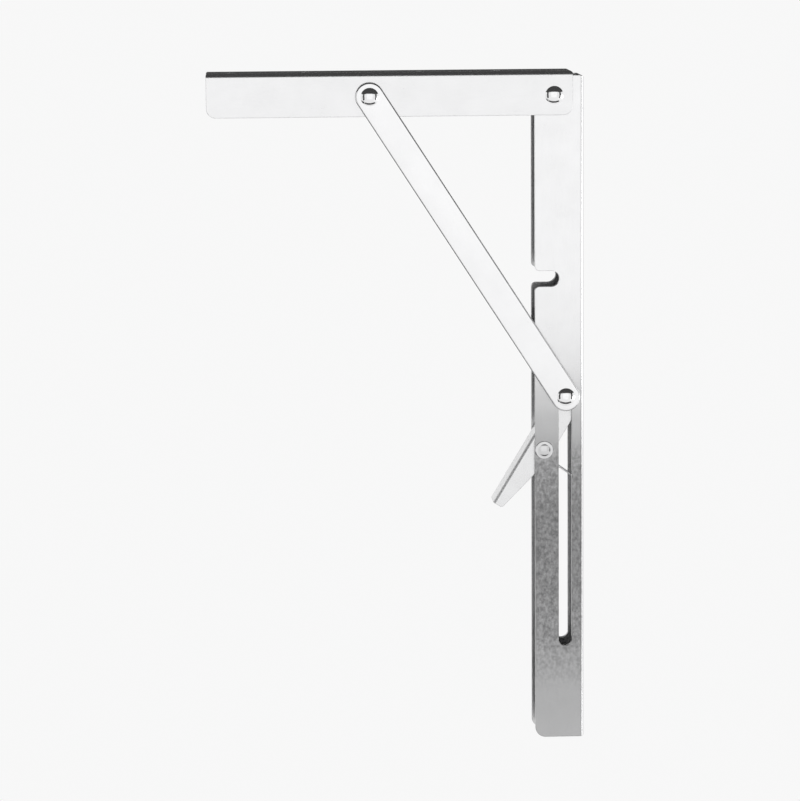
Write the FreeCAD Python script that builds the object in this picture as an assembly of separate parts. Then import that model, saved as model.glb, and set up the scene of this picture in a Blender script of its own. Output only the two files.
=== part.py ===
"""Drop leaf table bracket: a folding support that carries a table leaf from a wall or a table side.

A long channel stands against the wall. A short arm hinges at its top and carries the leaf. Two strut
bars brace the arm against a pin that slides in the long slots of the channel. A sprung release lever
stands under that pin and holds the arm level until its grip is pressed.

Units are millimetres. X points at the wall, Z is up, and the wall face of the channel is at X = 0.
The origin is the centre of the wall screw pattern. The part is drawn open, with the arm level.
"""

import FreeCAD, Part
import math
import os

# Long channel, a folded sheet whose web lies on the wall.
CHANNEL_LENGTH = 355.0
CHANNEL_DEPTH = 26.2
CHANNEL_WIDTH = 25.2
SHEET = 2.0
BEND_INNER_R = 0.4
CHANNEL_FOOT_FRONT_R = 5.4
CHANNEL_BACK_R = 1.9

# Arm pivot, measured from the front edge and the top of the channel.
PIVOT_FROM_FRONT = 10.2
PIVOT_BELOW_TOP = 10.2
RIVET_SHANK_R = 2.5
RIVET_HEAD_R = 4.8
RIVET_HEAD_HEIGHT = 2.0
RIVET_HEAD_RIM = 0.3
RIVET_DIMPLE_R = 0.8
RIVET_DIMPLE_DEPTH = 0.25

# Short arm, a folded sheet that straddles the channel.
ARM_REACH = 182.5
ARM_TAIL = 9.8
ARM_BELOW_PIVOT = 10.5
ARM_LOWER_R = 5.0
ARM_UPPER_R = 1.2
ARM_SIDE_CLEARANCE = 0.4
ARM_STOP_CLEARANCE = 0.3

# Strut, two flat bars outside the arm.
STRUT_FROM_PIVOT = 97.0
STRUT_LENGTH = 190.0
STRUT_WIDTH = 15.1
STRUT_THICKNESS = 2.0
STRUT_EDGE_CHAMFER = 0.4
SIDE_CLEARANCE = 0.3

# Slot in both channel flanges, and the pin that slides in it.
SLOT_FROM_FRONT = 16.1
SLOT_WIDTH = 7.0
SLOT_END_CLEARANCE = 0.3
SLOT_TRAVEL_SPARE = 4.6
PIN_R = 3.3
PIN_CHAMFER = 0.3
PIN_WASHER_R = 4.8

# Notch that the upper strut rivet drops into when the arm is folded.
NOTCH_HALF_HEIGHT = 4.2
NOTCH_MOUTH_R = 2.5
RIVET_NOTCH_CLEARANCE = 0.3

# Release lever, a folded sheet inside the channel.
LEVER_FROM_FRONT = 4.9
LEVER_BELOW_PIN = 28.9
LEVER_SPACE = 1.1
LEVER_SHEET = 1.5
LEVER_BEND_R = 1.9
LEVER_WEB_OFFSET = 8.5
LEVER_EDGE_OFFSET = 4.7
LEVER_ANGLE = 59.0
LEVER_GRIP_REACH = 38.3
LEVER_GRIP_WIDTH = 5.4
LEVER_TAPER_START = 5.4
LEVER_NOSE_R = 6.0
LEVER_ELBOW_R = 9.0
LEVER_GRIP_R = 1.6
PAWL_CLEARANCE = 0.3
LEVER_RIVET_R = 2.0
LEVER_HEAD_R = 4.8
LEVER_HEAD_RIM = 0.5
LEVER_DOME_R = 3.3
LEVER_HEAD_HEIGHT = 1.2

# Torsion spring round the lever rivet.
WIRE_R = 0.55
WIRE_SIDES = 8
SPRING_STEPS = 20
SPRING_COIL_R = 3.4
SPRING_COIL_GAP = 0.15
SPRING_TURNS = 5.0
SPRING_LEG_SLOPE = 35.0

# Screw holes, spaced about the middle of each channel.
HOLE_R = 2.6
WALL_OUTER_SPACING = 300.0
WALL_INNER_SPACING = 120.0
LEAF_CENTRE_FROM_PIVOT = 100.0
LEAF_OUTER_SPACING = 140.0
LEAF_INNER_SPACING = 60.0

# Running clearance of every pivot, and a length that is sure to cut right through.
PIVOT_CLEARANCE = 0.05
THROUGH = 100.0

# Places worked out from the sizes above.
CHANNEL_TOP = CHANNEL_LENGTH / 2
CHANNEL_FRONT = -CHANNEL_DEPTH
PIVOT_X = CHANNEL_FRONT + PIVOT_FROM_FRONT
PIVOT_Z = CHANNEL_TOP - PIVOT_BELOW_TOP
SLOT_X = CHANNEL_FRONT + SLOT_FROM_FRONT
STRUT_TOP_X = PIVOT_X - STRUT_FROM_PIVOT
SLOT_PAST_PIVOT = SLOT_X - PIVOT_X
PIN_OPEN_DROP = math.sqrt(STRUT_LENGTH**2 - (STRUT_FROM_PIVOT + SLOT_PAST_PIVOT) ** 2)
PIN_FOLDED_DROP = STRUT_FROM_PIVOT + math.sqrt(STRUT_LENGTH**2 - SLOT_PAST_PIVOT**2)
PIN_Z = PIVOT_Z - PIN_OPEN_DROP
LEVER_X = CHANNEL_FRONT + LEVER_FROM_FRONT
LEVER_Z = PIN_Z - LEVER_BELOW_PIN
LEVER_WIDTH = CHANNEL_WIDTH - 2 * (SHEET + LEVER_SPACE)
ARM_WEB_INNER = max(PIVOT_FROM_FRONT, PIVOT_BELOW_TOP) + ARM_STOP_CLEARANCE
ARM_WEB_OUTER = ARM_WEB_INNER + SHEET
ARM_TOP = PIVOT_Z + ARM_WEB_OUTER
ARM_WIDTH = CHANNEL_WIDTH + 2 * (ARM_SIDE_CLEARANCE + SHEET)
STRUT_INNER = ARM_WIDTH / 2 + SIDE_CLEARANCE
STRUT_OUTER = STRUT_INNER + STRUT_THICKNESS
PAWL_R = math.hypot(SLOT_X - LEVER_X, PIN_Z - LEVER_Z) - PIN_R - PAWL_CLEARANCE
BEND_OUTER_R = BEND_INNER_R + SHEET


def vec(x, y, z):
    """A point or a direction."""
    return FreeCAD.Vector(x, y, z)


def cylinder_y(radius, x, z, y_from, y_to):
    """A cylinder along Y between two places."""
    return Part.makeCylinder(radius, y_to - y_from, vec(x, y_from, z), vec(0, 1, 0))


def rounded_outline(points, radii, y):
    """A closed outline in a plane across Y, with each corner rounded by its own radius."""
    edges = []
    ends = []
    count = len(points)
    for index, (x, z) in enumerate(points):
        corner = vec(x, y, z)
        before = vec(points[index - 1][0], y, points[index - 1][1]) - corner
        after = vec(points[(index + 1) % count][0], y, points[(index + 1) % count][1]) - corner
        before.normalize()
        after.normalize()
        radius = radii[index]
        if radius == 0:
            ends.append((corner, corner))
            continue
        half = before.getAngle(after) / 2
        reach = radius / math.tan(half)
        middle = before + after
        middle.normalize()
        deep = radius / math.sin(half) - radius
        start, end = corner + before * reach, corner + after * reach
        edges.append(Part.Arc(start, corner + middle * deep, end).toShape())
        ends.append((start, end))
    for index in range(count):
        leave, arrive = ends[index][1], ends[(index + 1) % count][0]
        if leave.distanceToPoint(arrive) > 1e-6:
            edges.append(Part.LineSegment(leave, arrive).toShape())
    return Part.Wire(Part.__sortEdges__(edges))


def plate(points, radii, y_from, y_to):
    """A flat plate across Y with rounded corners."""
    face = Part.Face(rounded_outline(points, radii, y_from))
    return face.extrude(vec(0, y_to - y_from, 0))


def folded_u(web_outer, width, sheet, inner_r, outer_r, reach, low, high):
    """A U of sheet along Z: its web is on the plane X = web_outer and its flanges run towards -X."""
    outer = Part.makeBox(reach, width, high - low, vec(web_outer - reach, -width / 2, low))
    outer = outer.makeFillet(outer_r, edges_at(outer, web_outer, width / 2))
    inner_half = width / 2 - sheet
    inner = Part.makeBox(reach, 2 * inner_half, high - low, vec(web_outer - sheet - reach, -inner_half, low))
    inner = inner.makeFillet(inner_r, edges_at(inner, web_outer - sheet, inner_half))
    return outer.cut(inner)


def edges_at(solid, x, half):
    """The two long edges of a block along Z, at the given X and at Y = half and -half."""
    found = []
    for edge in solid.Edges:
        box = edge.BoundBox
        if box.ZLength > 1e-3 and abs(box.Center.x - x) < 1e-3 and abs(abs(box.Center.y) - half) < 1e-3:
            found.append(edge)
    return found


def dome_head(x, z, seat, side):
    """A domed rivet head with a small punch mark, which stands out from the seat plane."""
    cap = RIVET_HEAD_HEIGHT - RIVET_HEAD_RIM
    ball_r = (RIVET_HEAD_R**2 + cap**2) / (2 * cap)
    centre = seat + side * (RIVET_HEAD_HEIGHT - ball_r)
    ball = Part.makeSphere(ball_r, vec(x, centre, z))
    low, high = sorted((seat, seat + side * RIVET_HEAD_HEIGHT))
    head = ball.common(cylinder_y(RIVET_HEAD_R, x, z, low, high))
    tip = seat + side * RIVET_HEAD_HEIGHT
    mark = Part.makeCone(
        0, RIVET_DIMPLE_R * 2, RIVET_DIMPLE_DEPTH * 2, vec(x, tip - side * RIVET_DIMPLE_DEPTH, z),
        vec(0, side, 0),
    )
    return head.cut(mark)


def through_rivet(x, z, seat):
    """A rivet right across the bracket, with a domed head outside each seat plane."""
    shank = cylinder_y(RIVET_SHANK_R, x, z, -seat, seat)
    return shank.fuse([dome_head(x, z, seat, 1), dome_head(x, z, -seat, -1)]).removeSplitter()


def long_channel():
    """The wall channel with its pivot holes, slots, notches and wall screw holes."""
    bottom = -CHANNEL_TOP
    sheet = folded_u(
        0, CHANNEL_WIDTH, SHEET, BEND_INNER_R, BEND_OUTER_R, CHANNEL_DEPTH, bottom, CHANNEL_TOP
    )
    corners = [
        (CHANNEL_FRONT, bottom), (0, bottom), (0, CHANNEL_TOP), (CHANNEL_FRONT, CHANNEL_TOP),
    ]
    pivot_round = min(PIVOT_FROM_FRONT, PIVOT_BELOW_TOP)
    radii = [CHANNEL_FOOT_FRONT_R, CHANNEL_BACK_R, CHANNEL_BACK_R, pivot_round]
    shape = sheet.common(plate(corners, radii, -CHANNEL_WIDTH, CHANNEL_WIDTH))
    cuts = [across_hole(RIVET_SHANK_R + PIVOT_CLEARANCE, PIVOT_X, PIVOT_Z)]
    cuts.append(across_hole(LEVER_RIVET_R, LEVER_X, LEVER_Z))
    cuts.append(slot_cut())
    cuts.append(notch_cut())
    for spacing in (WALL_OUTER_SPACING, WALL_INNER_SPACING):
        for side in (-1, 1):
            place = vec(-THROUGH / 2, 0, side * spacing / 2)
            cuts.append(Part.makeCylinder(HOLE_R, THROUGH, place, vec(1, 0, 0)))
    return shape.cut(cuts)


def across_hole(radius, x, z):
    """A cutter along Y through both flanges."""
    return cylinder_y(radius, x, z, -THROUGH / 2, THROUGH / 2)


def slot_cut():
    """The long slot that the pin slides in, with round ends."""
    top = PIN_Z + SLOT_END_CLEARANCE
    low = PIVOT_Z - PIN_FOLDED_DROP - SLOT_TRAVEL_SPARE
    half = SLOT_WIDTH / 2
    body = Part.makeBox(SLOT_WIDTH, THROUGH, top - low, vec(SLOT_X - half, -THROUGH / 2, low))
    return body.fuse([across_hole(half, SLOT_X, top), across_hole(half, SLOT_X, low)]).removeSplitter()


def notch_cut():
    """The notch in the front edges, a slot with a round end and softened mouth corners."""
    centre_z = PIVOT_Z - STRUT_FROM_PIVOT
    end_x = PIVOT_X + RIVET_SHANK_R + RIVET_NOTCH_CLEARANCE
    half, mouth = NOTCH_HALF_HEIGHT, NOTCH_MOUTH_R
    front = CHANNEL_FRONT - 1
    body = Part.makeBox(end_x - half - front, THROUGH, 2 * half, vec(front, -THROUGH / 2, centre_z - half))
    cut = body.fuse(across_hole(half, end_x - half, centre_z))
    for side in (-1, 1):
        edge_z = centre_z + side * half
        corner_z = centre_z + side * (half + mouth)
        low = min(edge_z, corner_z)
        block = Part.makeBox(mouth + 1, THROUGH, mouth, vec(front, -THROUGH / 2, low))
        cut = cut.fuse(block.cut(across_hole(mouth, CHANNEL_FRONT + mouth, corner_z)))
    return cut


def short_arm():
    """The arm that carries the leaf, with its web on top and its pivot, strut and screw holes."""
    length = ARM_REACH + ARM_TAIL
    height = ARM_WEB_OUTER + ARM_BELOW_PIVOT
    shape = folded_u(0, ARM_WIDTH, SHEET, BEND_INNER_R, BEND_OUTER_R, height, 0, length)
    shape.rotate(vec(0, 0, 0), vec(0, 1, 0), -90)
    shape.translate(vec(PIVOT_X + ARM_TAIL, 0, ARM_TOP))
    left, right, low = PIVOT_X - ARM_REACH, PIVOT_X + ARM_TAIL, PIVOT_Z - ARM_BELOW_PIVOT
    corners = [(left, low), (right, low), (right, ARM_TOP), (left, ARM_TOP)]
    radii = [ARM_LOWER_R, ARM_LOWER_R, ARM_UPPER_R, ARM_UPPER_R]
    shape = shape.common(plate(corners, radii, -ARM_WIDTH, ARM_WIDTH))
    cuts = [across_hole(RIVET_SHANK_R, PIVOT_X, PIVOT_Z)]
    cuts.append(across_hole(RIVET_SHANK_R + PIVOT_CLEARANCE, STRUT_TOP_X, PIVOT_Z))
    for spacing in (LEAF_OUTER_SPACING, LEAF_INNER_SPACING):
        for side in (-1, 1):
            x = PIVOT_X - LEAF_CENTRE_FROM_PIVOT + side * spacing / 2
            cuts.append(Part.makeCylinder(HOLE_R, THROUGH, vec(x, 0, PIVOT_Z), vec(0, 0, 1)))
    return shape.cut(cuts)


def strut_bar(side):
    """One flat strut bar with round ends and broken edges, drawn along its own slope."""
    half = STRUT_WIDTH / 2
    low = STRUT_INNER if side > 0 else -STRUT_OUTER
    corners = [(-half, -STRUT_LENGTH - half), (half, -STRUT_LENGTH - half), (half, half), (-half, half)]
    bar = plate(corners, [half * 0.9999] * 4, low, low + STRUT_THICKNESS)
    rims = [edge for edge in bar.Edges if edge.BoundBox.YLength < 1e-6]
    bar = bar.makeChamfer(STRUT_EDGE_CHAMFER, rims)
    bar = bar.cut([across_hole(RIVET_SHANK_R, 0, 0), across_hole(RIVET_SHANK_R, 0, -STRUT_LENGTH)])
    slope = math.degrees(math.asin((SLOT_X - STRUT_TOP_X) / STRUT_LENGTH))
    bar.rotate(vec(0, 0, 0), vec(0, 1, 0), -slope)
    bar.translate(vec(STRUT_TOP_X, 0, PIVOT_Z))
    return bar


def washer_plane():
    """How far out the washer under a strut bar starts: it passes over the head of the lever rivet."""
    return CHANNEL_WIDTH / 2 + LEVER_HEAD_HEIGHT + SIDE_CLEARANCE


def slide_head(side):
    """The riveted end of the slide pin on one strut bar, with its short shank in bar and washer."""
    low, high = sorted((side * washer_plane(), side * STRUT_OUTER))
    shank = cylinder_y(RIVET_SHANK_R, SLOT_X, PIN_Z, low, high)
    return shank.fuse(dome_head(SLOT_X, PIN_Z, side * STRUT_OUTER, side)).removeSplitter()


def slide_washer(side):
    """The spacer washer between a strut bar and the channel."""
    low, high = sorted((side * washer_plane(), side * STRUT_INNER))
    disc = cylinder_y(PIN_WASHER_R, SLOT_X, PIN_Z, low, high)
    return disc.cut(across_hole(RIVET_SHANK_R, SLOT_X, PIN_Z))


def slide_pin():
    """The plain pin that rests on the pawl of the lever, as long as the channel is wide."""
    pin = cylinder_y(PIN_R, SLOT_X, PIN_Z, -CHANNEL_WIDTH / 2, CHANNEL_WIDTH / 2)
    return pin.makeChamfer(PIN_CHAMFER, [edge for edge in pin.Edges if edge.BoundBox.YLength < 1e-6])


def lever_outline():
    """The side view of the lever in its own frame, X across it and Z along it, from grip to pawl."""
    web, grip = -LEVER_WEB_OFFSET, -LEVER_GRIP_REACH
    points = [
        (web, grip), (web + LEVER_GRIP_WIDTH, grip), (LEVER_EDGE_OFFSET, -LEVER_TAPER_START),
        (LEVER_EDGE_OFFSET, PAWL_R), (web, PAWL_R),
    ]
    return points, [0, LEVER_GRIP_R, LEVER_ELBOW_R, LEVER_NOSE_R, 0]


def release_lever():
    """The folded release lever: two plates joined by a web on the grip side, with a pawl on top."""
    half, inner, web = LEVER_WIDTH / 2, LEVER_WIDTH / 2 - LEVER_SHEET, -LEVER_WEB_OFFSET
    points, radii = lever_outline()
    block = Part.makeBox(THROUGH, LEVER_WIDTH, THROUGH, vec(web, -half, -THROUGH / 2))
    block = block.makeFillet(LEVER_BEND_R, edges_at(block, web, half))
    hollow = Part.makeBox(THROUGH, 2 * inner, 2 * THROUGH, vec(web + LEVER_SHEET, -inner, -THROUGH))
    hollow = hollow.makeFillet(BEND_INNER_R, edges_at(hollow, web + LEVER_SHEET, inner))
    shape = block.common(plate(points, radii, -LEVER_WIDTH, LEVER_WIDTH)).cut(hollow)
    shape = shape.common(pawl_limit())
    shape = shape.cut(across_hole(LEVER_RIVET_R + PIVOT_CLEARANCE, 0, 0))
    shape.rotate(vec(0, 0, 0), vec(0, 1, 0), 90 - LEVER_ANGLE)
    shape.translate(vec(LEVER_X, 0, LEVER_Z))
    return shape


def pawl_limit():
    """All that lies inside the pawl's arc: a disc about the lever pivot and a block over the grip."""
    block = Part.makeBox(THROUGH, THROUGH, THROUGH / 2, vec(-THROUGH / 2, -THROUGH / 2, -THROUGH / 2))
    return across_hole(PAWL_R, 0, 0).fuse(block)


def lever_rivet():
    """The low rivet that the lever turns on: a wide flat rim with a small dome on each side."""
    seat = CHANNEL_WIDTH / 2
    shape = cylinder_y(LEVER_RIVET_R, LEVER_X, LEVER_Z, -seat, seat)
    dome = LEVER_HEAD_HEIGHT - LEVER_HEAD_RIM
    ball_r = (LEVER_DOME_R**2 + dome**2) / (2 * dome)
    parts = []
    for side in (-1, 1):
        low, high = sorted((side * seat, side * (seat + LEVER_HEAD_RIM)))
        parts.append(cylinder_y(LEVER_HEAD_R, LEVER_X, LEVER_Z, low, high))
        low, high = sorted((side * seat, side * (seat + LEVER_HEAD_HEIGHT)))
        ball = Part.makeSphere(ball_r, vec(LEVER_X, side * (seat + LEVER_HEAD_HEIGHT - ball_r), LEVER_Z))
        parts.append(ball.common(cylinder_y(LEVER_DOME_R, LEVER_X, LEVER_Z, low, high)))
    return shape.fuse(parts).removeSplitter()


def lever_washer(side):
    """The spacer that centres the lever between the channel flanges."""
    low, high = sorted((side * (LEVER_WIDTH / 2 + SIDE_CLEARANCE), side * (CHANNEL_WIDTH / 2 - SHEET)))
    disc = cylinder_y(LEVER_HEAD_R, LEVER_X, LEVER_Z, low, high)
    return disc.cut(across_hole(LEVER_RIVET_R, LEVER_X, LEVER_Z))


def coil_points(turns, pitch):
    """Points along the coil, so many to a turn, about the Z axis."""
    steps = round(turns * SPRING_STEPS)
    points = []
    for step in range(steps + 1):
        turned = turns * step / steps
        angle = 2 * math.pi * turned
        points.append(vec(SPRING_COIL_R * math.cos(angle), SPRING_COIL_R * math.sin(angle), pitch * turned))
    return points


def wire_corner(index):
    """One corner of the spring wire's section where the coil starts: the wire is drawn with flats."""
    turn = 2 * math.pi * (index % WIRE_SIDES + 0.5) / WIRE_SIDES
    return vec(SPRING_COIL_R + WIRE_R * math.cos(turn), 0, WIRE_R * math.sin(turn))


def lever_spring():
    """The torsion spring: a coil round the rivet, one leg on the channel web and one on the lever web."""
    start_turn = math.radians(90 + SPRING_LEG_SLOPE)
    turns = SPRING_TURNS - SPRING_LEG_SLOPE / 360
    pitch = 2 * WIRE_R + SPRING_COIL_GAP
    height = pitch * turns
    coil_path = Part.makePolygon(coil_points(turns, pitch))
    ring = Part.makePolygon([wire_corner(index) for index in range(WIRE_SIDES + 1)])
    coil = coil_path.makePipeShell([ring], True, False, 1)
    coil.rotate(vec(0, 0, 0), vec(0, 0, 1), math.degrees(start_turn))
    start = vec(SPRING_COIL_R * math.cos(start_turn), SPRING_COIL_R * math.sin(start_turn), 0)
    along = vec(math.sin(start_turn), -math.cos(start_turn), 0)
    web_leg = (-SHEET - LEVER_X - WIRE_R - start.x) / along.x
    lean = math.radians(LEVER_ANGLE)
    web_inner = LEVER_WEB_OFFSET - LEVER_SHEET - WIRE_R - SIDE_CLEARANCE
    grip_leg = (web_inner + SPRING_COIL_R * math.cos(lean)) / math.sin(lean)
    end = vec(0, SPRING_COIL_R, height)
    legs = [Part.makeCylinder(WIRE_R, web_leg, start, along), Part.makeSphere(WIRE_R, start)]
    legs += [Part.makeCylinder(WIRE_R, grip_leg, end, vec(-1, 0, 0)), Part.makeSphere(WIRE_R, end)]
    shape = coil.fuse(legs)
    shape.translate(vec(0, 0, -height / 2))
    shape.rotate(vec(0, 0, 0), vec(1, 0, 0), -90)
    shape.translate(vec(LEVER_X, 0, LEVER_Z))
    return shape


def export(name, shape):
    """Writes one solid to its own file."""
    shape.exportStep(f"parts/{name}.step")
    print(name, shape.isValid(), len(shape.Solids), round(shape.Volume, 1))


def main():
    """Builds every piece and writes it."""
    os.makedirs("parts", exist_ok=True)
    pieces = {
        "long_channel": long_channel(),
        "short_arm": short_arm(),
        "strut_front": strut_bar(-1),
        "strut_rear": strut_bar(1),
        "pivot_rivet": through_rivet(PIVOT_X, PIVOT_Z, ARM_WIDTH / 2),
        "strut_rivet": through_rivet(STRUT_TOP_X, PIVOT_Z, STRUT_OUTER),
        "slide_pin": slide_pin(),
        "slide_head_front": slide_head(-1),
        "slide_head_rear": slide_head(1),
        "slide_washer_front": slide_washer(-1),
        "slide_washer_rear": slide_washer(1),
        "release_lever": release_lever(),
        "lever_rivet": lever_rivet(),
        "lever_washer_front": lever_washer(-1),
        "lever_washer_rear": lever_washer(1),
        "lever_spring": lever_spring(),
    }
    for name, shape in pieces.items():
        export(name, shape)


main()
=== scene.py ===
"""Looks of a folding table leaf bracket in satin stainless steel.

The folded sheets, the slide pin and the washers keep their own meshes and get a finish, and the long
channel's finish carries painted shade. The strut bars, the rivets and the spring are modelled again here
with rounder forms, on the same places and sizes.
"""

import logging
import math
from dataclasses import dataclass, field
from enum import Enum

import bmesh
import bpy
from mathutils import Matrix, Vector

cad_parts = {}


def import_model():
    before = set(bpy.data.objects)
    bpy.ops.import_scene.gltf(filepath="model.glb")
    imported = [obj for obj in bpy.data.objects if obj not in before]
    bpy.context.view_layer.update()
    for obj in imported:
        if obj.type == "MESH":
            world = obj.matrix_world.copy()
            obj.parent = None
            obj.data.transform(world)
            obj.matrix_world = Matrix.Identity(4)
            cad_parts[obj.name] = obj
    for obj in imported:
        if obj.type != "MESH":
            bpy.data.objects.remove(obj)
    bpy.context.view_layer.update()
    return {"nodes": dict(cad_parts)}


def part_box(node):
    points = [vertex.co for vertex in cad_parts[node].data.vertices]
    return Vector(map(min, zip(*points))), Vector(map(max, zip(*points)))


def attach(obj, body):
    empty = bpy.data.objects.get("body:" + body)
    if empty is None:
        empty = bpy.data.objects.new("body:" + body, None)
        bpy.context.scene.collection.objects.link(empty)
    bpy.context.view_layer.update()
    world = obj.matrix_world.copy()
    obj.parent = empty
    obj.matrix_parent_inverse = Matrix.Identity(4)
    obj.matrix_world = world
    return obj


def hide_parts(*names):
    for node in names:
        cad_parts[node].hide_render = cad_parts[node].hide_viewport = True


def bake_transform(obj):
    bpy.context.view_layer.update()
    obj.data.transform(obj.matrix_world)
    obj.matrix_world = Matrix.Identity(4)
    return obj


LOG = logging.getLogger("bracket")
MM = 0.001
SAME_PLACE = 1e-7
SMOOTH_UP_TO = math.radians(40)
FLOOR_HEIGHT = -0.9
LOWER_CARDS = FLOOR_HEIGHT + 0.005
UPPER_CARDS = FLOOR_HEIGHT + 0.01

Triple = tuple[float, float, float]
Pair = tuple[float, float]
Socket = bpy.types.NodeSocket
Value = Socket | float | tuple[float, ...]


class Side(Enum):
    """Which side of the bracket a piece lies on, as the sign of its Y."""

    FRONT = -1
    REAR = 1


class Grain(Enum):
    """The way the drawn grain of a sheet runs, as the stretch of its pattern on X, Y and Z."""

    UPRIGHT = (1.0, 1.0, 0.06)
    LEVEL = (0.06, 1.0, 1.0)
    EVEN = (1.0, 1.0, 1.0)


class Facing(Enum):
    """The axis that a flat card faces along, as its turns about Z and then X, in degrees."""

    UP = (0.0, 0.0)
    FRONT = (0.0, 90.0)
    SIDE = (90.0, 90.0)


def around(middle: float, share: float) -> Pair:
    """The range that reaches to both sides of a number by a share of it."""
    return middle * (1 - share), middle * (1 + share)


def grey(tone: float) -> tuple[float, ...]:
    """An even grey as a colour."""
    return tone, tone, tone, 1.0


def new_material(name: str) -> bpy.types.Material:
    """Makes a material that has nodes.

    Args:
        name: The material's name.

    Returns:
        The material.
    """
    material = bpy.data.materials.new(name)
    material.use_nodes = True
    return material


class ShaderTree:
    """A steel material's node tree, with one short call for each kind of node that a finish needs."""

    def __init__(self, name: str) -> None:
        """Starts a material with its surface shader and the piece's own coordinates.

        Args:
            name: The material's name.
        """
        self.material = new_material(name)
        self.tree = self.material.node_tree
        self.shader = self.tree.nodes["Principled BSDF"]
        self.place = self.tree.nodes.new("ShaderNodeTexCoord").outputs["Object"]

    def feed(self, target: Socket, value: Value) -> None:
        """Gives a socket its value.

        Args:
            target: The socket.
            value: Another node's output, which is linked, or a plain number or colour.
        """
        if isinstance(value, bpy.types.NodeSocket):
            self.tree.links.new(value, target)
        else:
            target.default_value = value

    def noise(self, stretch: Triple, scale: float, detail: float) -> Socket:
        """Adds a stretched noise on the piece's own coordinates.

        Args:
            stretch: How much each axis counts.
            scale: Cells per metre.
            detail: Octaves of the noise.

        Returns:
            The noise value.
        """
        mapping = self.tree.nodes.new("ShaderNodeMapping")
        mapping.inputs["Scale"].default_value = stretch
        self.feed(mapping.inputs["Vector"], self.place)
        noise = self.tree.nodes.new("ShaderNodeTexNoise")
        noise.inputs["Scale"].default_value = scale
        noise.inputs["Detail"].default_value = detail
        self.feed(noise.inputs["Vector"], mapping.outputs["Vector"])
        return noise.outputs["Fac"]

    def spread(self, value: Socket, source: Pair, result: Pair = (0.0, 1.0)) -> Socket:
        """Maps a value from one range to another, held at both ends.

        Args:
            value: The value.
            source: Where the value starts and ends.
            result: What it becomes there.

        Returns:
            The mapped value.
        """
        node = self.tree.nodes.new("ShaderNodeMapRange")
        for name, number in zip(("From Min", "From Max", "To Min", "To Max"), (*source, *result)):
            node.inputs[name].default_value = number
        self.feed(node.inputs["Value"], value)
        return node.outputs["Result"]

    def arithmetic(self, operation: str, first: Socket, second: Socket | float | None = None) -> Socket:
        """Adds one step of arithmetic.

        Args:
            operation: What the step does.
            first: The first value.
            second: The second value, where the step has one.

        Returns:
            The result.
        """
        step = self.tree.nodes.new("ShaderNodeMath")
        step.operation = operation
        self.feed(step.inputs[0], first)
        if second is not None:
            self.feed(step.inputs[1], second)
        return step.outputs["Value"]

    def multiply(self, colour: Socket, share: Socket) -> Socket:
        """Multiplies a colour by a share.

        Args:
            colour: The colour.
            share: What it is multiplied by.

        Returns:
            The product.
        """
        product = self.tree.nodes.new("ShaderNodeVectorMath")
        product.operation = "MULTIPLY"
        self.feed(product.inputs[0], colour)
        self.feed(product.inputs[1], share)
        return product.outputs["Vector"]

    def mix(self, kind: str, share: Socket, first: Value, second: Value) -> Socket:
        """Mixes two colours or two numbers.

        Args:
            kind: RGBA for colours, or FLOAT for numbers.
            share: How much of the second one there is.
            first: The first one.
            second: The second one.

        Returns:
            The mixture.
        """
        node = self.tree.nodes.new("ShaderNodeMix")
        node.data_type = kind
        self.feed(node.inputs["Factor"], share)
        self.feed(node.inputs["A"], first)
        self.feed(node.inputs["B"], second)
        return node.outputs["Result"]


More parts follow.
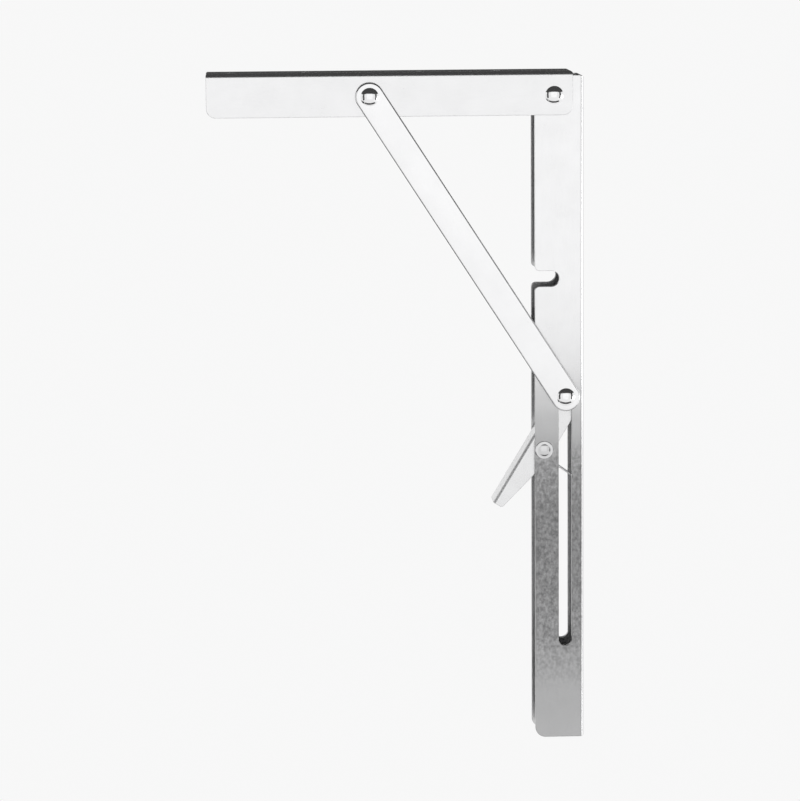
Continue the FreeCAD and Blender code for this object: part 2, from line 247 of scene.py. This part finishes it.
@dataclass(frozen=True)
class SteelFinish:
    """One stainless steel finish, from drawn sheet to polished rivet.

    The grain is the fine drawn texture, and the clouds are faint broad changes of tone and gloss.
    """

    name: str
    tone: Triple
    roughness: float
    grain: Grain = Grain.EVEN
    grain_scale: float = 1600.0
    grain_detail: float = 3.0
    grain_depth: float = 0.004
    grain_height: float = 0.1 * MM
    grain_gloss: float = 0.12
    cloud_scale: float = 90.0
    cloud_detail: float = 4.0
    cloud_depth: float = 0.03
    cloud_gloss: float = 0.06
    noise_middle: Pair = (0.3, 0.7)
    edge_round: float = 0.0
    edge_samples: int = 6

    def build(self) -> bpy.types.Material:
        """Builds the material.

        Returns:
            The node material.
        """
        nodes = ShaderTree(self.name)
        nodes.shader.inputs["Metallic"].default_value = 1.0
        grain = nodes.noise(self.grain.value, self.grain_scale, self.grain_detail)
        cloud = nodes.noise(Grain.EVEN.value, self.cloud_scale, self.cloud_detail)
        nodes.feed(nodes.shader.inputs["Base Color"], self.colour(nodes, cloud))
        nodes.feed(nodes.shader.inputs["Roughness"], self._gloss(nodes, grain, cloud))
        nodes.feed(nodes.shader.inputs["Normal"], self._surface(nodes, grain))
        return nodes.material

    def colour(self, nodes: ShaderTree, cloud: Socket) -> Socket:
        """Gives the metal its tone, with faint clouds.

        Args:
            nodes: The material's nodes.
            cloud: The noise of the clouds.

        Returns:
            The colour.
        """
        clouded = tuple(part * (1 - self.cloud_depth) for part in self.tone)
        share = nodes.spread(cloud, self.noise_middle)
        return nodes.mix("RGBA", share, (*self.tone, 1.0), (*clouded, 1.0))

    def _gloss(self, nodes: ShaderTree, grain: Socket, cloud: Socket) -> Socket:
        """Varies the roughness with the grain and the clouds.

        Args:
            nodes: The material's nodes.
            grain: The noise of the grain.
            cloud: The noise of the clouds.

        Returns:
            The roughness.
        """
        fine = nodes.spread(grain, self.noise_middle, around(self.roughness, self.grain_gloss))
        broad = nodes.spread(cloud, self.noise_middle, around(1.0, self.cloud_gloss))
        return nodes.arithmetic("MULTIPLY", fine, broad)

    def _surface(self, nodes: ShaderTree, grain: Socket) -> Socket:
        """Adds the fine grain as bump, over edges that read as slightly rounded.

        Args:
            nodes: The material's nodes.
            grain: The noise of the grain.

        Returns:
            The surface's normal.
        """
        bump = nodes.tree.nodes.new("ShaderNodeBump")
        bump.inputs["Strength"].default_value = self.grain_depth
        bump.inputs["Distance"].default_value = self.grain_height
        nodes.feed(bump.inputs["Height"], grain)
        if self.edge_round:
            bevel = nodes.tree.nodes.new("ShaderNodeBevel")
            bevel.samples = self.edge_samples
            bevel.inputs["Radius"].default_value = self.edge_round
            nodes.feed(bump.inputs["Normal"], bevel.outputs["Normal"])
        return bump.outputs["Normal"]


@dataclass(frozen=True)
class ChannelFinishWithPaintedShade(SteelFinish):
    """The long channel's finish, with painted shade: its outer flanks carry a painted shade that darkens
    their lower half, with speckle there.

    Each entry of the table of painted shade by height is a height in metres and the share of the plain
    tone there; this painted shade stands in for the dark surroundings that the lower flanks mirror. The
    web and the bends keep the plain tone, and the inside has a painted shade that makes it darker. The
    flanks' painted shade starts at the first distance of fade inside them and is full at the second one.
    """

    grain: Grain = Grain.UPRIGHT
    edge_round: float = 0.5 * MM
    half_width: float = 12.6 * MM
    half_sheet: float = 1.0 * MM
    fade: Pair = (0.9 * MM, 0.09 * MM)
    # painted shade on the faces inside the channel
    inside_painted_shade: float = 0.7
    # painted shade: how much the outer flanks darken at each height, standing in for mirrored dark
    # surroundings
    painted_shade_by_height: tuple[Pair, ...] = (
        (-0.178, 0.53), (-0.156, 0.5), (-0.134, 0.41), (-0.124, 0.33), (-0.092, 0.28), (-0.06, 0.26),
        (-0.033, 0.33), (-0.006, 0.55), (0.005, 0.66), (0.026, 0.88), (0.045, 0.95), (0.075, 1.0),
    )
    speckle_tones: Pair = (0.5, 0.34)
    speckle_depth: float = 0.36
    speckle_scale: float = 760.0
    speckle_detail: float = 6.0
    speckle_stretch: Triple = (1.0, 1.0, 0.8)

    def colour(self, nodes: ShaderTree, cloud: Socket) -> Socket:
        """Lays the painted shade of the outer flanks over the tones of the bends and the inside.

        Args:
            nodes: The material's nodes.
            cloud: The noise of the clouds.

        Returns:
            The colour.
        """
        plain = super().colour(nodes, cloud)
        axes = nodes.tree.nodes.new("ShaderNodeSeparateXYZ")
        nodes.feed(axes.inputs["Vector"], nodes.place)
        across = nodes.arithmetic("ABSOLUTE", axes.outputs["Y"])
        flank = nodes.spread(across, (self.half_width - self.fade[0], self.half_width - self.fade[1]))
        inside = self._inside(nodes, plain, axes.outputs["X"], across)
        return nodes.mix("RGBA", flank, inside, self._paint_shade_by_height(nodes, plain, axes.outputs["Z"]))

    def _inside(self, nodes: ShaderTree, plain: Socket, depth: Socket, across: Socket) -> Socket:
        """Paints shade on the faces inside the folded sheet, split from the outer ones at half its
        thickness.

        Args:
            nodes: The material's nodes.
            plain: The plain colour.
            depth: The place along X, where the web's outer face is at 0.
            across: The distance from the middle of the channel's width.

        Returns:
            The colour of the bends, and of the inside with its painted shade.
        """
        between = nodes.arithmetic("LESS_THAN", across, self.half_width - self.half_sheet)
        before = nodes.arithmetic("LESS_THAN", depth, -self.half_sheet)
        both = nodes.arithmetic("MINIMUM", between, before)
        return nodes.multiply(plain, nodes.spread(both, (0.0, 1.0), (1.0, self.inside_painted_shade)))

    def _paint_shade_by_height(self, nodes: ShaderTree, plain: Socket, height: Socket) -> Socket:
        """Paints shade on the outer flanks by height, with more speckle where the painted shade is
        deeper.

        Args:
            nodes: The material's nodes.
            plain: The plain colour.
            height: The place along Z.

        Returns:
            The colour of the outer flanks, with their painted shade.
        """
        low, high = self.painted_shade_by_height[0][0], self.painted_shade_by_height[-1][0]
        ramp = nodes.tree.nodes.new("ShaderNodeValToRGB")
        ramp.color_ramp.interpolation = "EASE"
        stops = ramp.color_ramp.elements
        for index, (level, share) in enumerate(self.painted_shade_by_height):
            spot = (level - low) / (high - low)
            stop = stops[index] if index < len(stops) else stops.new(spot)
            stop.position = spot
            stop.color = grey(share)
        nodes.feed(ramp.inputs["Fac"], nodes.spread(height, (low, high)))
        # painted shade: the share of the plain tone at this height
        tone = ramp.outputs["Color"]
        spots = nodes.noise(self.speckle_stretch, self.speckle_scale, self.speckle_detail)
        strength = nodes.spread(spots, self.noise_middle, around(1.0, self.speckle_depth))
        speckle = nodes.mix("FLOAT", nodes.spread(tone, self.speckle_tones), 1.0, strength)
        return nodes.multiply(nodes.multiply(plain, tone), speckle)


@dataclass
class Finishes:
    """All the finishes of the bracket, built once each."""

    # the channel's finish carries painted shade on its outer flanks and on its inside
    channel: SteelFinish = ChannelFinishWithPaintedShade("channel steel with painted shade", (0.74, 0.74, 0.745), 0.24)
    arm: SteelFinish = SteelFinish(
        "arm steel", (0.715, 0.715, 0.72), 0.24, grain=Grain.LEVEL, edge_round=0.6 * MM
    )
    bar: SteelFinish = SteelFinish("bar steel", (0.75, 0.75, 0.755), 0.2)
    lever: SteelFinish = SteelFinish("lever steel", (0.67, 0.67, 0.675), 0.26, edge_round=0.4 * MM)
    rivet: SteelFinish = SteelFinish("rivet steel", (0.76, 0.76, 0.765), 0.1, grain_depth=0.002)
    washer: SteelFinish = SteelFinish("washer steel", (0.7, 0.7, 0.71), 0.3)
    small_rivet: SteelFinish = SteelFinish(
        "small rivet steel", (0.57, 0.57, 0.575), 0.13, grain_depth=0.002
    )
    wire: SteelFinish = SteelFinish("spring wire", (0.85, 0.85, 0.86), 0.35)
    made: dict[str, bpy.types.Material] = field(default_factory=dict)

    def dress(self, piece: bpy.types.Object, finish: SteelFinish) -> None:
        """Gives a piece one of the finishes.

        Args:
            piece: The mesh object.
            finish: The finish it gets.
        """
        if finish.name not in self.made:
            self.made[finish.name] = finish.build()
        piece.data.materials.clear()
        piece.data.materials.append(self.made[finish.name])


def add_object(name: str, shape: bmesh.types.BMesh) -> bpy.types.Object:
    """Turns a bmesh into an object of the scene.

    Args:
        name: The object's name.
        shape: The mesh, which is freed.

    Returns:
        The new object.
    """
    mesh = bpy.data.meshes.new(name)
    shape.to_mesh(mesh)
    shape.free()
    made = bpy.data.objects.new(name, mesh)
    bpy.context.scene.collection.objects.link(made)
    return made


def sort_by_place(shape: bmesh.types.BMesh) -> None:
    """Sorts a mesh by place, because a spin leaves its parts in an order that varies from run to run.

    Args:
        shape: The mesh.
    """
    spots = sorted(shape.verts, key=lambda vert: tuple(vert.co))
    rank = {vert: number for number, vert in enumerate(spots)}
    faces = sorted(shape.faces, key=lambda face: sorted(rank[vert] for vert in face.verts))
    order = {face: number for number, face in enumerate(faces)}
    shape.faces.sort(key=order.get)
    shape.verts.sort(key=rank.get)


def finish_piece(name: str, shape: bmesh.types.BMesh, node: str) -> bpy.types.Object:
    """Turns a bmesh into a smooth piece that stands for a node.

    Args:
        name: The piece's name.
        shape: The mesh, which is freed.
        node: The node that it stands for.

    Returns:
        The new object.
    """
    bmesh.ops.remove_doubles(shape, verts=shape.verts, dist=SAME_PLACE)
    bmesh.ops.recalc_face_normals(shape, faces=shape.faces)
    sort_by_place(shape)
    piece = add_object(name, shape)
    piece.data.shade_smooth()
    piece.data.set_sharp_from_angle(angle=SMOOTH_UP_TO)
    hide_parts(node)
    LOG.info("made %s with %d faces", name, len(piece.data.polygons))
    return piece


def vertices_of(items: list) -> list[bmesh.types.BMVert]:
    """The vertices among the parts of a mesh that an operator gives back."""
    return [item for item in items if isinstance(item, bmesh.types.BMVert)]


def edges_of(items: list) -> list[bmesh.types.BMEdge]:
    """The edges among the parts of a mesh that an operator gives back."""
    return [item for item in items if isinstance(item, bmesh.types.BMEdge)]


def axis_of(node: str) -> Vector:
    """Where the axis of a piece that lies across the bracket crosses the middle plane."""
    low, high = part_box(node)
    return Vector(((low.x + high.x) / 2, 0.0, (low.z + high.z) / 2))


@dataclass
class StrutBar:
    """A flat bar with round ends and rolled edges, from the arm down to the slot."""

    side: Side
    width: float = 15.1 * MM
    edge_round: float = 0.95 * MM
    edge_steps: int = 5
    round_steps: int = 96

    def build(self, finishes: Finishes) -> bpy.types.Object:
        """Models the bar over its own node.

        Args:
            finishes: The finishes of the bracket.

        Returns:
            The bar.
        """
        node = f"strut_{self.side.name.lower()}"
        low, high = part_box(node)
        half = self.width / 2
        top = Vector((low.x + half, 0.0, high.z - half))
        foot = Vector((high.x - half, 0.0, low.z + half))
        shape = bmesh.new()
        bmesh.ops.create_circle(shape, cap_ends=True, segments=self.round_steps, radius=half)
        lower = [vert for vert in shape.verts if vert.co.y < -SAME_PLACE]
        bmesh.ops.translate(shape, verts=lower, vec=(0, -(foot - top).length, 0))
        rear_face = bmesh.ops.extrude_face_region(shape, geom=shape.faces[:])
        bmesh.ops.translate(shape, verts=vertices_of(rear_face["geom"]), vec=(0, 0, high.y - low.y))
        rims = [edge for edge in shape.edges if abs(edge.verts[0].co.z - edge.verts[1].co.z) < SAME_PLACE]
        bmesh.ops.bevel(
            shape, geom=rims, offset=self.edge_round, segments=self.edge_steps, profile=0.5,
            affect="EDGES", material=-1,
        )
        slope = math.atan2(foot.x - top.x, top.z - foot.z)
        turn = Matrix.Rotation(-slope, 4, "Y") @ Matrix.Rotation(math.radians(90), 4, "X")
        place = Matrix.Translation((top.x, high.y, top.z)) @ turn
        bmesh.ops.transform(shape, matrix=place, verts=shape.verts)
        bar = finish_piece(f"bar_{self.side.name.lower()}", shape, node)
        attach(bar, "strut")
        finishes.dress(bar, finishes.bar)
        return bar


@dataclass
class DomedRivet:
    """A rivet across the bracket, with a domed head that carries a punch mark on each end or on one."""

    name: str
    node: str
    body: str
    head_radius: float = 4.8 * MM
    head_height: float = 2.0 * MM
    rim: float = 0.35 * MM
    mark_radius: float = 0.8 * MM
    mark_depth: float = 0.3 * MM
    shank_radius: float = 2.5 * MM
    sides: tuple[Side, ...] = (Side.FRONT, Side.REAR)
    turn_steps: int = 72
    dome_steps: int = 14
    duller: bool = False

    def dome(self, radius: float, rise: float, inner: float = 0.0) -> list[Pair]:
        """The round stretch of the head's outline.

        Args:
            radius: The dome's radius at its edge.
            rise: The dome's height over that edge.
            inner: The radius at which the stretch starts.

        Returns:
            The points of the stretch, from the middle outwards.
        """
        ball = (radius**2 + rise**2) / (2 * rise)
        start, edge = math.asin(inner / ball), math.asin(radius / ball)
        points = []
        for step in range(self.dome_steps + 1):
            angle = start + (edge - start) * step / self.dome_steps
            points.append((ball * math.sin(angle), self.head_height - ball + ball * math.cos(angle)))
        return points

    def outline(self) -> list[Pair]:
        """The head's half outline as (radius, height over the seat), from the middle outwards.

        Returns:
            The points of the outline.
        """
        mark = (0.0, self.head_height - self.mark_depth)
        dome = self.dome(self.head_radius, self.head_height - self.rim, self.mark_radius)
        return [mark, *dome, (self.head_radius, 0.0)]

    def build(self, finishes: Finishes) -> bpy.types.Object:
        """Spins the heads and the shank about the rivet's axis.

        Args:
            finishes: The finishes of the bracket.

        Returns:
            The rivet.
        """
        low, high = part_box(self.node)
        centre = axis_of(self.node)
        half = self.outline()
        profile = []
        if Side.FRONT in self.sides:
            seat = low.y + self.head_height
            profile += [(radius, seat - height) for radius, height in half]
            profile.append((self.shank_radius, seat))
        else:
            profile += [(0.0, low.y), (self.shank_radius, low.y)]
        if Side.REAR in self.sides:
            seat = high.y - self.head_height
            profile.append((self.shank_radius, seat))
            profile += [(radius, seat + height) for radius, height in reversed(half)]
        else:
            profile += [(self.shank_radius, high.y), (0.0, high.y)]
        shape = bmesh.new()
        verts = [shape.verts.new((centre.x + radius, y, centre.z)) for radius, y in profile]
        edges = [shape.edges.new(pair) for pair in zip(verts, verts[1:])]
        bmesh.ops.spin(
            shape, geom=[*verts, *edges], cent=centre, axis=(0, 1, 0), angle=math.tau,
            steps=self.turn_steps, use_merge=True,
        )
        rivet = finish_piece(self.name, shape, self.node)
        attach(rivet, self.body)
        finishes.dress(rivet, finishes.small_rivet if self.duller else finishes.rivet)
        return rivet


@dataclass
class LeverRivet(DomedRivet):
    """The low rivet of the lever: a small dome inside a flat rolled rim, with no punch mark."""

    head_height: float = 1.2 * MM
    shank_radius: float = 2.0 * MM
    dome_radius: float = 3.3 * MM
    rim_height: float = 0.5 * MM
    rim_round: float = 0.25 * MM
    duller: bool = True

    def outline(self) -> list[Pair]:
        """The head's half outline as (radius, height over the seat), from the middle outwards.

        Returns:
            The points of the outline.
        """
        dome = self.dome(self.dome_radius, self.head_height - self.rim_height)
        rim_top = (self.head_radius - self.rim_round, self.rim_height)
        rim_side = (self.head_radius, self.rim_height - self.rim_round)
        return [*dome, rim_top, rim_side, (self.head_radius, 0.0)]


@dataclass
class TorsionSpring:
    """The round wire spring about the lever rivet, with a leg on the channel and one on the lever.

    The spring is not attached to any body, so neither leg bends or moves with the lever; leg_free and
    leg_bend are not used.
    """

    wire: float = 0.55 * MM
    coil: float = 3.4 * MM
    gap: float = 0.15 * MM
    turns: float = 5.0
    leg_slope: float = 35.0
    leg_free: float = 2.1 * MM
    leg_bend: float = 1.6 * MM
    leg_steps: int = 12
    wire_steps: int = 16
    turn_steps: int = 40

    def build(self, finishes: Finishes) -> bpy.types.Object:
        """Winds the wire with a screw motion and draws its two legs out.

        Args:
            finishes: The finishes of the bracket.

        Returns:
            The spring.
        """
        low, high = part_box("lever_spring")
        centre = axis_of("lever_rivet")
        turns = self.turns - self.leg_slope / 360
        pitch = 2 * self.wire + self.gap
        slope = math.radians(self.leg_slope)
        outwards = Vector((-math.sin(slope), 0.0, -math.cos(slope)))
        along = Vector((math.cos(slope), 0.0, -math.sin(slope)))
        start = centre + self.coil * outwards - Vector((0.0, pitch * turns / 2, 0.0))
        web_leg = (high.x - self.wire - start.x) / along.x
        grip_leg = centre.x - low.x
        shape = bmesh.new()
        ring = bmesh.ops.create_circle(shape, cap_ends=False, segments=self.wire_steps, radius=self.wire)
        face_along = along.to_track_quat("Z", "Y").to_matrix().to_4x4()
        bmesh.ops.transform(shape, matrix=Matrix.Translation(start) @ face_along, verts=ring["verts"])
        rim = shape.edges[:]
        self._draw_leg(shape, rim, along * web_leg)
        wound = bmesh.ops.spin(
            shape, geom=[*ring["verts"], *rim], cent=centre, axis=(0, 1, 0), angle=math.tau * turns,
            steps=round(turns * self.turn_steps), dvec=(0, pitch / self.turn_steps, 0), use_merge=False,
        )
        self._draw_leg(shape, edges_of(wound["geom_last"]), Vector((-grip_leg, 0.0, 0.0)))
        spring = finish_piece("wound_spring", shape, "lever_spring")
        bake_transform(spring)
        finishes.dress(spring, finishes.wire)
        return spring

    def _draw_leg(
        self, shape: bmesh.types.BMesh, rim: list[bmesh.types.BMEdge], reach: Vector
    ) -> None:
        """Extrudes the ring of the wire into a straight leg and closes its end.

        Args:
            shape: The mesh.
            rim: The edges of the ring.
            reach: The leg's direction and length.
        """
        for _ in range(self.leg_steps):
            drawn = bmesh.ops.extrude_edge_only(shape, edges=rim)
            verts = vertices_of(drawn["geom"])
            bmesh.ops.translate(shape, verts=verts, vec=reach / self.leg_steps)
            rim = [edge for edge in edges_of(drawn["geom"]) if all(vert in verts for vert in edge.verts)]
        bmesh.ops.contextual_create(shape, geom=rim)


@dataclass
class LoadedPieces:
    """The pieces as loaded: the sheets, the slide pin and the washers stay, and the rest is replaced."""

    nodes: dict[str, bpy.types.Object]

    def dress(self, finishes: Finishes) -> None:
        """Gives each sheet its own finish, the slide pin that of a rivet, and the others a plain one.

        Args:
            finishes: The finishes of the bracket.
        """
        choice = {
            "long_channel": finishes.channel,
            "short_arm": finishes.arm,
            "release_lever": finishes.lever,
            "slide_pin": finishes.rivet,
        }
        for name, node in self.nodes.items():
            finish = choice.get(name, finishes.washer)
            finishes.dress(node, finish)
            LOG.info("dressed %s in %s", name, finish.name)


def show_camera(tree: bpy.types.NodeTree, lit: Socket, seen: Socket, surface: Socket) -> None:
    """Lets the camera see one shader, and light and reflections another.

    Args:
        tree: The node tree.
        lit: What lights the scene and shows in reflections.
        seen: What the camera sees.
        surface: The tree's surface output.
    """
    path = tree.nodes.new("ShaderNodeLightPath")
    mix = tree.nodes.new("ShaderNodeMixShader")
    tree.links.new(path.outputs["Is Camera Ray"], mix.inputs["Fac"])
    tree.links.new(lit, mix.inputs[1])
    tree.links.new(seen, mix.inputs[2])
    tree.links.new(mix.outputs["Shader"], surface)


def flat_shape(size: Pair, place: Matrix) -> bmesh.types.BMesh:
    """Makes one flat rectangle.

    Args:
        size: Its width and its other side.
        place: Where it goes.

    Returns:
        The mesh.
    """
    shape = bmesh.new()
    bmesh.ops.create_grid(shape, x_segments=1, y_segments=1, size=0.5)
    bmesh.ops.scale(shape, verts=shape.verts, vec=(*size, 1.0))
    bmesh.ops.transform(shape, matrix=place, verts=shape.verts)
    return shape


@dataclass(frozen=True)
class Card:
    """A dark card that only reflections see, so that the steel has something to mirror."""

    name: str
    place: Triple
    size: Pair
    facing: Facing
    tone: float = 0.07

    def hang(self) -> None:
        """Hangs the card in its place."""
        about_z, about_x = (math.radians(angle) for angle in self.facing.value)
        turn = Matrix.Rotation(about_z, 4, "Z") @ Matrix.Rotation(about_x, 4, "X")
        card = add_object(self.name, flat_shape(self.size, Matrix.Translation(self.place) @ turn))
        material = new_material(self.name)
        tree = material.node_tree
        tree.nodes.remove(tree.nodes["Principled BSDF"])
        glow = tree.nodes.new("ShaderNodeEmission")
        glow.inputs["Color"].default_value = grey(self.tone)
        tree.links.new(glow.outputs["Emission"], tree.nodes["Material Output"].inputs["Surface"])
        card.data.materials.append(material)
        card.visible_camera = False
        card.visible_diffuse = False
        card.visible_shadow = False
        card.visible_transmission = False


@dataclass(frozen=True)
class Lamp:
    """A soft rectangular lamp that points at the bracket."""

    name: str
    place: Triple
    size: Pair
    glow: float
    aim: Triple = (-0.08, 0.0, 0.0)

    def hang(self) -> None:
        """Hangs the lamp in its place."""
        width, height = self.size
        data = bpy.data.lights.new(self.name, "AREA")
        data.shape = "RECTANGLE"
        data.size, data.size_y = width, height
        data.energy = self.glow * math.pi * width * height
        lamp = bpy.data.objects.new(self.name, data)
        lamp.location = self.place
        towards = Vector(self.aim) - Vector(self.place)
        lamp.rotation_euler = towards.to_track_quat("-Z", "Y").to_euler()
        bpy.context.scene.collection.objects.link(lamp)


@dataclass
class Studio:
    """A pale floor, soft lamps, and unseen cards that the steel mirrors."""

    floor_size: Pair = (60.0, 60.0)
    floor_tone: float = 0.95
    world_strength: float = 1.1
    backdrop_tone: float = 0.935
    lamps: tuple[Lamp, ...] = (
        Lamp("front_box", (0.0, -3.2, 0.1), (2.6, 2.6), 0.2),
        Lamp("side_box", (2.6, -1.25, -0.5), (1.3, 1.0), 2.6),
    )
    cards: tuple[Card, ...] = (
        Card("ceiling_card", (0.0, 0.15, 1.0), (4.8, 4.1), Facing.UP),
        Card("back_card", (0.0, 1.9, 0.6), (2.2, 0.8), Facing.FRONT),
        Card("left_card", (-1.3, -1.15, 0.2), (0.55, 1.6), Facing.SIDE),
        Card("right_card", (1.3, -1.15, 0.2), (0.55, 1.6), Facing.SIDE),
        Card("low_card", (0.0, -0.7, LOWER_CARDS), (1.8, 0.4), Facing.UP),
        Card("under_card", (0.0, 0.8, LOWER_CARDS), (2.2, 1.7), Facing.UP),
        Card("low_left_card", (-1.75, 0.3, UPPER_CARDS), (1.5, 2.4), Facing.UP),
    )

    def build(self) -> None:
        """Makes the whole studio."""
        self._world()
        self._floor()
        for thing in (*self.lamps, *self.cards):
            thing.hang()

    def _world(self) -> None:
        """Lights all round evenly, and shows the backdrop's tone to the camera."""
        world = bpy.data.worlds.new("pale studio")
        bpy.context.scene.world = world
        world.use_nodes = True
        tree = world.node_tree
        light = tree.nodes["Background"]
        light.inputs["Color"].default_value = grey(1.0)
        light.inputs["Strength"].default_value = self.world_strength
        seen = tree.nodes.new("ShaderNodeBackground")
        seen.inputs["Color"].default_value = grey(self.backdrop_tone)
        surface = tree.nodes["World Output"].inputs["Surface"]
        show_camera(tree, light.outputs["Background"], seen.outputs["Background"], surface)

    def _floor(self) -> None:
        """Lays a wide pale floor under the bracket."""
        level = Matrix.Translation((0.0, 0.0, FLOOR_HEIGHT))
        floor = add_object("floor", flat_shape(self.floor_size, level))
        material = new_material("pale floor")
        tree = material.node_tree
        shader = tree.nodes["Principled BSDF"]
        shader.inputs["Base Color"].default_value = grey(self.floor_tone)
        shader.inputs["Roughness"].default_value = 1.0
        shader.inputs["Specular IOR Level"].default_value = 0.0
        seen = tree.nodes.new("ShaderNodeEmission")
        seen.inputs["Color"].default_value = grey(self.backdrop_tone)
        surface = tree.nodes["Material Output"].inputs["Surface"]
        show_camera(tree, shader.outputs["BSDF"], seen.outputs["Emission"], surface)
        floor.data.materials.append(material)


@dataclass
class Camera:
    """The long lens that looks at the bracket from the front, a little from above and the left."""

    azimuth: float = -2.8
    elevation: float = 8.0
    roll: float = -0.4
    distance: float = 1.9
    lens: float = 160.0
    sensor: float = 36.0
    nearest: float = 0.1
    target: Triple = (-0.0974, 0.0, 0.0046)

    def build(self) -> None:
        """Places the camera and makes it the scene's own."""
        turn, lift = math.radians(self.azimuth), math.radians(self.elevation)
        back = Vector(
            (math.sin(turn) * math.cos(lift), -math.cos(turn) * math.cos(lift), math.sin(lift))
        )
        data = bpy.data.cameras.new("camera")
        data.sensor_width = self.sensor
        data.lens = self.lens
        data.clip_start = self.nearest
        camera = bpy.data.objects.new("camera", data)
        roll = Matrix.Rotation(math.radians(self.roll), 4, "Z").to_quaternion()
        camera.rotation_euler = ((-back).to_track_quat("-Z", "Y") @ roll).to_euler()
        camera.location = Vector(self.target) + back * self.distance
        bpy.context.scene.collection.objects.link(camera)
        bpy.context.scene.camera = camera


def main() -> None:
    """Builds and dresses the bracket and its studio."""
    logging.basicConfig(level=logging.INFO)
    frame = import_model()
    bpy.context.scene.view_settings.view_transform = "Standard"
    finishes = Finishes()
    LoadedPieces(frame["nodes"]).dress(finishes)
    for side in Side:
        StrutBar(side).build(finishes)
        name = side.name.lower()
        DomedRivet(f"slide_dome_{name}", f"slide_head_{name}", "strut", sides=(side,)).build(finishes)
    DomedRivet("pivot_dome", "pivot_rivet", "arm").build(finishes)
    DomedRivet("strut_dome", "strut_rivet", "strut").build(finishes)
    LeverRivet("lever_dome", "lever_rivet", "channel").build(finishes)
    TorsionSpring().build(finishes)
    Studio().build()
    Camera().build()


if __name__ == "__main__":
    main()
